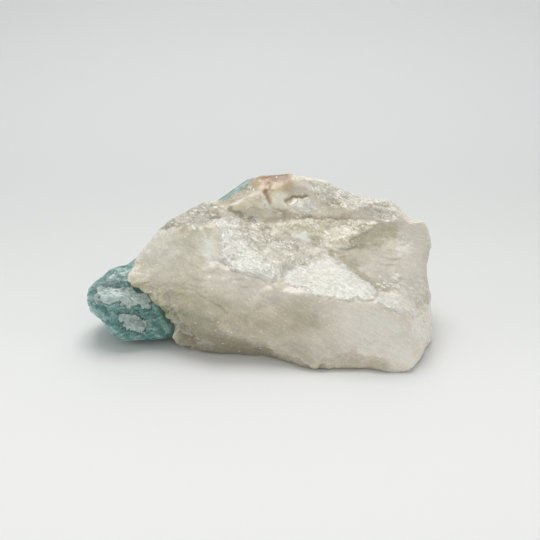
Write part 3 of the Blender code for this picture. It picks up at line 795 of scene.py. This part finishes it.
def broken_normal(tree, rough, cells, bumps):
    """The normal of a broken face. Each cell adds its direction, calm where rough is 0 and strong where it is
    1, and then each bump adds its height pattern, with its depth in mm and its strength."""
    normal = add(tree, "NewGeometry").outputs["Normal"]
    for cell, calm, strong in cells:
        tip = add(tree, "VectorMath", {0: cell, 1: (0.5, 0.5, 0.5)}, operation="SUBTRACT").outputs[0]
        lean = add(tree, "MapRange", {0: rough, 1: 0, 2: 1, 3: calm, 4: strong}).outputs[0]
        tip = add(tree, "VectorMath", {0: tip, "Scale": lean}, operation="SCALE").outputs[0]
        normal = add(tree, "VectorMath", {0: normal, 1: tip}, operation="ADD").outputs[0]
    normal = add(tree, "VectorMath", {0: normal}, operation="NORMALIZE").outputs[0]
    for pattern, deep, strength in bumps:
        normal = add(tree, "Bump", {"Height": pattern, "Normal": normal, "Distance": deep * MM,
                                    "Strength": strength}).outputs[0]
    return normal


print("a pattern 1 mm wide has the scale", per(1))

# %% [markdown]
# Milky vein quartz is translucent: light goes a few millimetres into it and comes out softened. Its grain
# runs one way, so the patterns are drawn out along that run, by more for the fine ones. Veils are 6 mm wide
# and grains 0.45 mm, as on the stone. The bubbles and striae are hundredths of a millimetre wide, too fine
# to show, and are drawn at 0.5 to 0.8 mm.

# %% Patterns in the quartz
GRAIN_TURN = GRAIN_RUN.to_track_quat("X", "Z").to_euler()
SHAKE = 0.8 * MM

# Milky vein quartz, as it broke: glassy on each grain, whitish and soft in its depth.
milky, tree, shader = new_material("milky vein quartz")
place = add(tree, "TexCoord").outputs["Object"]
tinted = add(tree, "Attribute", attribute_name="tint")
frost_in, sugar_in, edge_in, sparkle_in = (
    add(tree, "Attribute", attribute_name=name).outputs["Fac"]
    for name in ("frost", "sugar", "edge", "sparkle"))

drift = add(tree, "TexNoise", {"Vector": place, "Scale": per(1.6), "Detail": 3}).outputs["Color"]
drift = add(tree, "VectorMath", {0: drift, "Scale": SHAKE}, operation="SCALE").outputs[0]
place = add(tree, "VectorMath", {0: place, 1: drift}, operation="ADD").outputs[0]
short, longer, longest = (
    add(tree, "Mapping", {"Vector": place, "Rotation": GRAIN_TURN, "Scale": (stretch, 1, 1)},
        vector_type="TEXTURE").outputs[0] for stretch in (1.6, 4, 9))
veil, streak, striae, fine = (
    add(tree, "TexNoise", {"Vector": run, "Scale": per(size), "Detail": detail, "Roughness": rough}).outputs[0]
    for run, size, detail, rough in (
        (short, 6, 6, 0.55), (longest, 0.8, 4, 0.65), (longest, 0.5, 2, 0.5), (place, 0.8, 4, 0.7)))
print(milky.name, "has", len(tree.nodes), "nodes so far")

# %% [markdown]
# Cells are the grains and plates that the quartz broke into, from slabs of 3.2 mm down to single grains,
# and strokes are grains drawn out long. Seams are the thin white lines between plates, and they come and
# go.

# %% Grains, plates and seams in the quartz
slabs = add(tree, "TexVoronoi", {"Vector": short, "Scale": per(3.2)}).outputs["Color"]
flakes = add(tree, "TexVoronoi", {"Vector": short, "Scale": per(1.2)}).outputs["Color"]
flake = add(tree, "SeparateColor", {0: flakes}).outputs[1]
grains = add(tree, "TexVoronoi", {"Vector": place, "Scale": per(0.45)}).outputs["Color"]
grain, grain_2 = add(tree, "SeparateColor", {0: grains}).outputs[:2]
strokes = add(tree, "TexVoronoi", {"Vector": longer, "Scale": per(0.5)}).outputs["Color"]
stroke, stroke_2, stroke_3 = add(tree, "SeparateColor", {0: strokes}).outputs[:3]
seam = add(tree, "TexVoronoi", {"Vector": longest, "Scale": per(1.5)}, feature="DISTANCE_TO_EDGE").outputs[0]
seam = add(tree, "MapRange", {0: seam, 1: 0.02, 2: 0.1, 3: 1, 4: 0}).outputs[0]
here = add(tree, "MapRange", {0: fine, 1: 0.42, 2: 0.6, 3: 0, 4: 1}).outputs[0]
seam = add(tree, "Math", {0: seam, 1: here}, operation="MULTIPLY").outputs[0]
print(milky.name, "has", len(tree.nodes), "nodes so far")

# %% [markdown]
# The body's colour is the tint from the corners, made a little lighter or darker by each pattern in turn.
# Sugar is speckled with painted light and shade, each grain lighter or darker as if it faced toward the
# light or away from it, and a few clear grains in it look dark. Crests are thin and let light through, and
# they are painted lighter, a painted highlight, and grooves are painted darker, a painted shade.

# %% Body of the quartz
speckle = add(tree, "Math", {0: grain_2, 1: 0.5}, operation="SUBTRACT").outputs[0]
speckle = add(tree, "Math", {0: speckle, 1: sugar_in}, operation="MULTIPLY").outputs[0]
clear = add(tree, "Math", {0: stroke_2, 1: 0.2}, operation="LESS_THAN").outputs[0]
clear = add(tree, "Math", {0: clear, 1: sugar_in}, operation="MULTIPLY").outputs[0]
shades = [  # pattern, its low and high value, brightness at its low and at its high
    (veil, 0.3, 0.7, 0.93, 1.06), (streak, 0.25, 0.75, 0.95, 1.04), (striae, 0.25, 0.75, 0.96, 1.04),
    # speckle and edge_in are painted light and shade: grain by grain, and on crests and in grooves.
    (grain, 0.25, 0.75, 0.975, 1.025), (seam, 0, 1, 1, 1.14), (speckle, -0.5, 0.5, 0.86, 1.14),
    (edge_in, -1, 1, 0.92, 1.14), (clear, 0, 1, 1, 0.8),
]
body = tinted.outputs["Color"]
for pattern, low, high, at_low, at_high in shades:
    gain = add(tree, "MapRange", {0: pattern, 1: low, 2: high, 3: at_low, 4: at_high}).outputs[0]
    body = add(tree, "VectorMath", {0: body, "Scale": gain}, operation="SCALE").outputs[0]
print(len(shades), "patterns shade the quartz")

# %% [markdown]
# Frost is a skin of tiny steps that scatters all light, so it is nearly white and matt. Its edge is the
# kept distance, shifted flake by flake, and its tone is two patterns multiplied, which leaves few dark
# places.

# %% Frost on the quartz
FROST_GREY, FROST_WHITE = "#D3D0C2", "#F3F1E6"

frost_edge = frost_in
for pattern, low, high, back, on in ((flake, 0, 1, -0.4, 0.6), (fine, 0.25, 0.75, -0.3, 0.3)):
    ragged = add(tree, "MapRange", {0: pattern, 1: low, 2: high, 3: back, 4: on}).outputs[0]
    frost_edge = add(tree, "Math", {0: frost_edge, 1: ragged}).outputs[0]
frost = add(tree, "MapRange", {0: frost_edge, 1: -0.1, 2: 0.2, 3: 0, 4: 1}).outputs[0]
tone = add(tree, "Math", {0: fine, 1: striae}, operation="MULTIPLY").outputs[0]
tone = add(tree, "MapRange", {0: tone, 1: 0.16, 2: 0.32, 3: 0, 4: 1}).outputs[0]
white = add(tree, "Mix", {0: tone, 6: (*linear(FROST_GREY), 1), 7: (*linear(FROST_WHITE), 1)},
            data_type="RGBA").outputs[2]
white = add(tree, "VectorMath", {0: white, "Scale": tinted.outputs["Alpha"]}, operation="SCALE").outputs[0]
coated = add(tree, "Mix", {0: frost, 6: body, 7: white}, data_type="RGBA").outputs[2]
print(milky.name, "has", len(tree.nodes), "nodes so far")

# %% [markdown]
# Glints are painted into the colour: a grain is painted nearly white, a painted highlight. One in six
# strokes may be painted so in the sugar, and one in six grains along the glittering crests, each as bright
# as chance makes it.

# %% Painted glints in the quartz
half_frost = add(tree, "Math", {0: frost, 1: 0.3}, operation="MULTIPLY").outputs[0]
rough = add(tree, "Math", {0: half_frost, 1: sugar_in}, operation="MAXIMUM").outputs[0]
painted_flashes = []
for cell, where, never, often, bright in ((stroke, sugar_in, 1, 0.84, stroke_3),
                                          (grain, sparkle_in, 0.995, 0.82, grain_2)):
    rare = add(tree, "MapRange", {0: where, 1: 0, 2: 1, 3: never, 4: often}).outputs[0]
    painted_flash = add(tree, "Math", {0: cell, 1: rare}, operation="GREATER_THAN").outputs[0]
    painted_flashes.append(add(tree, "Math", {0: painted_flash, 1: bright}, operation="MULTIPLY").outputs[0])
painted_glint = add(tree, "Math", {0: painted_flashes[0], 1: painted_flashes[1]}, operation="MAXIMUM").outputs[0]
# FFFEF8 is the painted highlight's colour.
surface = add(tree, "Mix", {0: painted_glint, 6: coated, 7: (*linear("#FFFEF8"), 1)}, data_type="RGBA").outputs[2]
print(len(painted_flashes), "kinds of glint")

# %% [markdown]
# Quartz has an IOR of 1.54. Fresh glass-like breaks are between 0.06 and 0.32 rough, grain by grain. The
# light goes 2.5 mm deep, red a little deeper than blue, and where the surface is broken up it turns back
# sooner.

# %% Milky vein quartz
normal = broken_normal(tree, rough,
                       cells=((grains, 0.08, 0.75), (flakes, 0.06, 0.3), (slabs, 0.12, 0.14)),
                       bumps=((fine, 0.05, 0.4), (streak, 0.07, 0.6), (frost, 0.3, 0.7)))
gloss = add(tree, "MapRange", {0: grain, 1: 0, 2: 1, 3: 0.06, 4: 0.32}).outputs[0]
depth = add(tree, "MapRange", {0: rough, 1: 0, 2: 1, 3: 0.75, 4: 0.15}).outputs[0]

tree.links.new(depth, shader.inputs["Subsurface Weight"])
tree.links.new(surface, shader.inputs["Base Color"])
tree.links.new(gloss, shader.inputs["Roughness"])
tree.links.new(normal, shader.inputs["Normal"])
shader.inputs["IOR"].default_value = 1.54
shader.inputs["Subsurface Radius"].default_value = (1.0, 0.92, 0.8)
shader.inputs["Subsurface Scale"].default_value = 2.5 * MM
quartz.data.materials.append(milky)
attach(quartz.piece, "root")
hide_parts("quartz_matrix")
print(milky.name, "has", len(tree.nodes), "nodes")

# %% [markdown]
# The crystal's near end is broken into ragged terraces. Their tops are frosted and pale, and the hollows
# between them are clear and deep teal. Behind the lip it keeps its flat prism faces. In the slot the quartz
# over it is thinner than the net, and there the crystal's skin stands in for that film of quartz.

# %% Zones of the crystal
CRYSTAL_ZONES = {
    "terrace": [
        (-61, -9), (-59, -7.5), (-54.5, -7), (-50.5, -7.5), (-46.5, -8), (-41, -9), (-41, -13),
        (-46, -12.5), (-49.5, -12), (-55, -11), (-60, -10.5)],
    "lower patch": [
        (-52, -16.5), (-49.5, -15.5), (-46.5, -16), (-44.5, -17.5), (-43.5, -19), (-45, -21.5),
        (-47.5, -21), (-50, -20), (-52, -19)],
    "upper facet": [
        (-59, -3.5), (-55.5, -1), (-51.5, 0.5), (-49.5, -1.5), (-51.5, -5), (-56.5, -6.5), (-60, -6.5)],
    "quartz film": [(-13, 23), (-2, 23), (-2, 13), (-13, 13)],
    "lower corner": [(-44, -14), (-38, -13), (-32, -17), (-30, -23), (-33, -26), (-40, -25), (-45, -20)],
    "dark valley": [
        (-56.5, -12), (-49.5, -13), (-43, -13.5), (-38.5, -12.5), (-35, -16.5), (-32.5, -19.5),
        (-38.5, -19.5), (-43, -17), (-48, -15.5), (-53, -14.5)],
}

broken = smooth(1.0, -2.0, past_lip(crystal.places))
print(len(CRYSTAL_ZONES), "zones on the crystal;", round(100 * broken.mean()), "% of its skin is broken")

# %% [markdown]
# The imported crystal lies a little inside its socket, so it is raised first to meet the quartz. The broken
# end then gets chips of two sizes, the frosted tops stand half a millimetre higher than what is round them,
# and the dark valley lies lower.

# %% Relief of the crystal
MEETS_QUARTZ = 0.25

crystal.raise_by(MEETS_QUARTZ + 0.3 * broken)
crystal.relax(2, 0.4)
crystal_zone = zone_depths(crystal, CRYSTAL_ZONES, 2 * RAGGED_ZONES)
spots = crystal.places.copy()
pale = np.maximum(crystal_zone["terrace"] + 0.5, crystal_zone["lower patch"] + 0.2)
film = smooth(-0.5, 0.5, crystal_zone["quartz film"])
height = facets(spots, 4.2, 600) * 0.9 * broken + facets(spots, 1.4, 700) * (0.02 + 0.28 * broken)
height += smooth(-0.25, 0.25, pale) * 0.5 - smooth(-1, 1, crystal_zone["dark valley"]) * 0.2
height += smooth(-1.5, 2, crystal_zone["lower corner"]) * 0.7 + film * 0.3
crystal.raise_by(height)
kept = {"edge": crystal.edge(), "pale": np.clip(pale, -FROST_REACH, FROST_REACH), "film": film,
        "broken": broken, "facet": smooth(-1.2, 0.8, crystal_zone["upper facet"]),
        "deep": smooth(-1.5, 1.5, crystal_zone["dark valley"])}
for name, values in kept.items():
    crystal.keep(name, values)
print("aquamarine skin, mm:", crystal.places.min(0).round(1), "to", crystal.places.max(0).round(1))

# %% [markdown]
# Beryl grows in long prisms, and its clouds and growth lines run along them, so on the prism faces the
# patterns are drawn out along the crystal's run. Across the broken end they run with the break. The finest
# growth lines are hundredths of a millimetre apart and are drawn 0.7 mm wide, so that they show.

# %% Patterns in the beryl
BREAK_TURN = (0.0, math.radians(15), math.radians(-20))
PRISM_TURN = Vector(CRYSTAL_RUN).to_track_quat("X", "Z").to_euler()

# Aquamarine, the blue-green beryl, rough: satin on its grown faces, and frosted or glassy where it broke.
beryl, tree, shader = new_material("rough beryl")
place = add(tree, "TexCoord").outputs["Object"]
pale_in, facet_in, deep_in, film_in, edge_in, broken_in = (
    add(tree, "Attribute", attribute_name=name).outputs["Fac"]
    for name in ("pale", "facet", "deep", "film", "edge", "broken"))
drawn, along, far_along = (
    add(tree, "Mapping", {"Vector": place, "Rotation": turn, "Scale": (stretch, 1, 1)},
        vector_type="TEXTURE").outputs[0]
    for turn, stretch in ((BREAK_TURN, 2), (PRISM_TURN, 2.5), (PRISM_TURN, 25)))
veil, cloud, fibre, growth, ridge, speck = (
    add(tree, "TexNoise", {"Vector": run, "Scale": per(size), "Detail": detail, "Roughness": rough}).outputs[0]
    for run, size, detail, rough in (
        (drawn, 2.6, 3, 0.5), (along, 7, 5, 0.6), (drawn, 0.6, 3, 0.6), (far_along, 0.7, 3, 0.6),
        (place, 2.2, 4, 0.55), (drawn, 0.9, 3, 0.6)))
veil, fibre = (
    add(tree, "Mix", {0: broken_in, 2: grown, 3: torn}, data_type="FLOAT").outputs[0]
    for grown, torn in ((cloud, veil), (growth, fibre)))
print(beryl.name, "has", len(tree.nodes), "nodes so far")

# %% [markdown]
# The chips on the broken end are cells again, and they are shaken by a fine noise so that their borders
# aren't straight. Cracks are thin dark lines where a noise passes through its middle value.

# %% Chips and cracks in the beryl
shaken = add(tree, "TexNoise", {"Vector": place, "Scale": per(0.9), "Detail": 3}).outputs["Color"]
shaken = add(tree, "VectorMath", {0: shaken, "Scale": 0.9 * MM}, operation="SCALE").outputs[0]
shaken = add(tree, "VectorMath", {0: drawn, 1: shaken}, operation="ADD").outputs[0]
flakes = add(tree, "TexVoronoi", {"Vector": shaken, "Scale": per(1.1)}).outputs["Color"]
plates = add(tree, "TexVoronoi", {"Vector": shaken, "Scale": per(2.6)}).outputs["Color"]
flake = add(tree, "SeparateColor", {0: flakes}).outputs[0]
flake = add(tree, "Math", {0: flake, 1: broken_in}, operation="MULTIPLY").outputs[0]
crack = add(tree, "Math", {0: ridge, 1: 0.5}, operation="SUBTRACT").outputs[0]
crack = add(tree, "Math", {0: crack}, operation="ABSOLUTE").outputs[0]
crack = add(tree, "MapRange", {0: crack, 1: 0, 2: 0.035, 3: 1, 4: 0}).outputs[0]
crack = add(tree, "Math", {0: crack, 1: broken_in}, operation="MULTIPLY").outputs[0]
print(beryl.name, "has", len(tree.nodes), "nodes so far")

# %% [markdown]
# Clear beryl looks dark and strongly coloured, and beryl full of fine cracks looks pale. Its body goes
# between the two with the veils and is greyer on the upper facet. In the valley it is teal and lighter than
# clear beryl, a painted light against the shade that falls there. Each pattern makes it lighter or darker,
# and crests are painted much lighter and grooves much darker, a painted highlight and a painted shade. It
# is painted darkest right under the edges of the frosted tops, a painted shade where they stand over it.

# %% Body of the beryl
BERYL_DEEP, BERYL_PALE, BERYL_GREY, BERYL_TEAL = "#5C8C85", "#98B9B2", "#93ACA6", "#72A097"

tone = add(tree, "MapRange", {0: veil, 1: 0.42, 2: 0.58, 3: 0, 4: 1}).outputs[0]
body = (*linear(BERYL_DEEP), 1)
for part, colour in ((tone, BERYL_PALE), (facet_in, BERYL_GREY), (deep_in, BERYL_TEAL)):
    body = add(tree, "Mix", {0: part, 6: body, 7: (*linear(colour), 1)}, data_type="RGBA").outputs[2]
ragged = add(tree, "MapRange", {0: ridge, 1: 0.3, 2: 0.7, 3: -1.0, 4: 1.0}).outputs[0]
frost_edge = add(tree, "Math", {0: pale_in, 1: ragged}).outputs[0]
shades = [  # pattern, its low and high value, brightness at its low and at its high
    # edge_in paints crests lighter and grooves darker, and frost_edge darkens the body beside the frosted
    # tops: painted highlight and painted shade.
    (fibre, 0.35, 0.65, 0.9, 1.1), (flake, 0, 1, 0.88, 1.16), (edge_in, -1, 1, 0.7, 1.4),
    (crack, 0, 1, 1, 0.72), (frost_edge, -0.9, 0, 1, 0.55),
]
for pattern, low, high, at_low, at_high in shades:
    gain = add(tree, "MapRange", {0: pattern, 1: low, 2: high, 3: at_low, 4: at_high}).outputs[0]
    body = add(tree, "VectorMath", {0: body, "Scale": gain}, operation="SCALE").outputs[0]
print(len(shades), "patterns shade the beryl")

# %% [markdown]
# The frost on the tops is palest at its rim, where it is thickest. Specks of the broken end are painted
# near white, a painted glint. The grown faces are worn to a dull, even blue-green, and the film in the slot
# has the darkened colour of the quartz in the slot, painted shade and all.

# %% Frost, painted glints, wear and film on the beryl
BERYL_FROST, BERYL_RIM = "#A2BAB3", "#D6E0DB"
# BERYL_PAINTED_GLINT is a painted highlight, and QUARTZ_FILM carries the slot's painted shade.
BERYL_PAINTED_GLINT, BERYL_WORN, QUARTZ_FILM = "#CFE0DB", "#7F9891", "#B4AD94"

frost = add(tree, "MapRange", {0: frost_edge, 1: 0, 2: 0.1, 3: 0, 4: 1}).outputs[0]
tone = add(tree, "MapRange", {0: fibre, 1: 0.4, 2: 0.62, 3: 0, 4: 1}).outputs[0]
rim = add(tree, "MapRange", {0: frost_edge, 1: 0.1, 2: 0.7, 3: 0.7, 4: 0}).outputs[0]
tone = add(tree, "Math", {0: tone, 1: rim}, operation="MAXIMUM").outputs[0]
white = add(tree, "Mix", {0: tone, 6: (*linear(BERYL_FROST), 1), 7: (*linear(BERYL_RIM), 1)},
            data_type="RGBA").outputs[2]
surface = add(tree, "Mix", {0: frost, 6: body, 7: white}, data_type="RGBA").outputs[2]
painted_glint = add(tree, "MapRange", {0: speck, 1: 0.61, 2: 0.64, 3: 0, 4: 0.6}).outputs[0]
painted_glint = add(tree, "Math", {0: painted_glint, 1: broken_in}, operation="MULTIPLY").outputs[0]
worn = add(tree, "MapRange", {0: broken_in, 1: 0, 2: 1, 3: 0.55, 4: 0}).outputs[0]
for part, colour in ((painted_glint, BERYL_PAINTED_GLINT), (worn, BERYL_WORN), (film_in, QUARTZ_FILM)):
    surface = add(tree, "Mix", {0: part, 6: surface, 7: (*linear(colour), 1)}, data_type="RGBA").outputs[2]
print(beryl.name, "has", len(tree.nodes), "nodes so far")

# %% [markdown]
# Beryl has an IOR of 1.58. This piece is satin, 0.22 rough, and cloudy enough that light goes a millimetre
# into it, green and blue deeper than red. The prism faces lie nearly flat, and the broken end is tipped
# chip by chip.

# %% Rough beryl
normal = broken_normal(tree, broken_in,
                       cells=((flakes, 0.08, 0.6), (plates, 0.08, 0.5)),
                       bumps=((ridge, 0.35, 0.7), (fibre, 0.08, 0.5), (frost, 0.35, 0.8)))
tree.links.new(surface, shader.inputs["Base Color"])
tree.links.new(normal, shader.inputs["Normal"])
shader.inputs["Roughness"].default_value = 0.22
shader.inputs["IOR"].default_value = 1.58
shader.inputs["Subsurface Weight"].default_value = 0.2
shader.inputs["Subsurface Radius"].default_value = (0.7, 1.0, 1.0)
shader.inputs["Subsurface Scale"].default_value = 1.0 * MM
crystal.data.materials.append(beryl)
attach(crystal.piece, "root")
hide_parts("aquamarine")
print(beryl.name, "has", len(tree.nodes), "nodes")
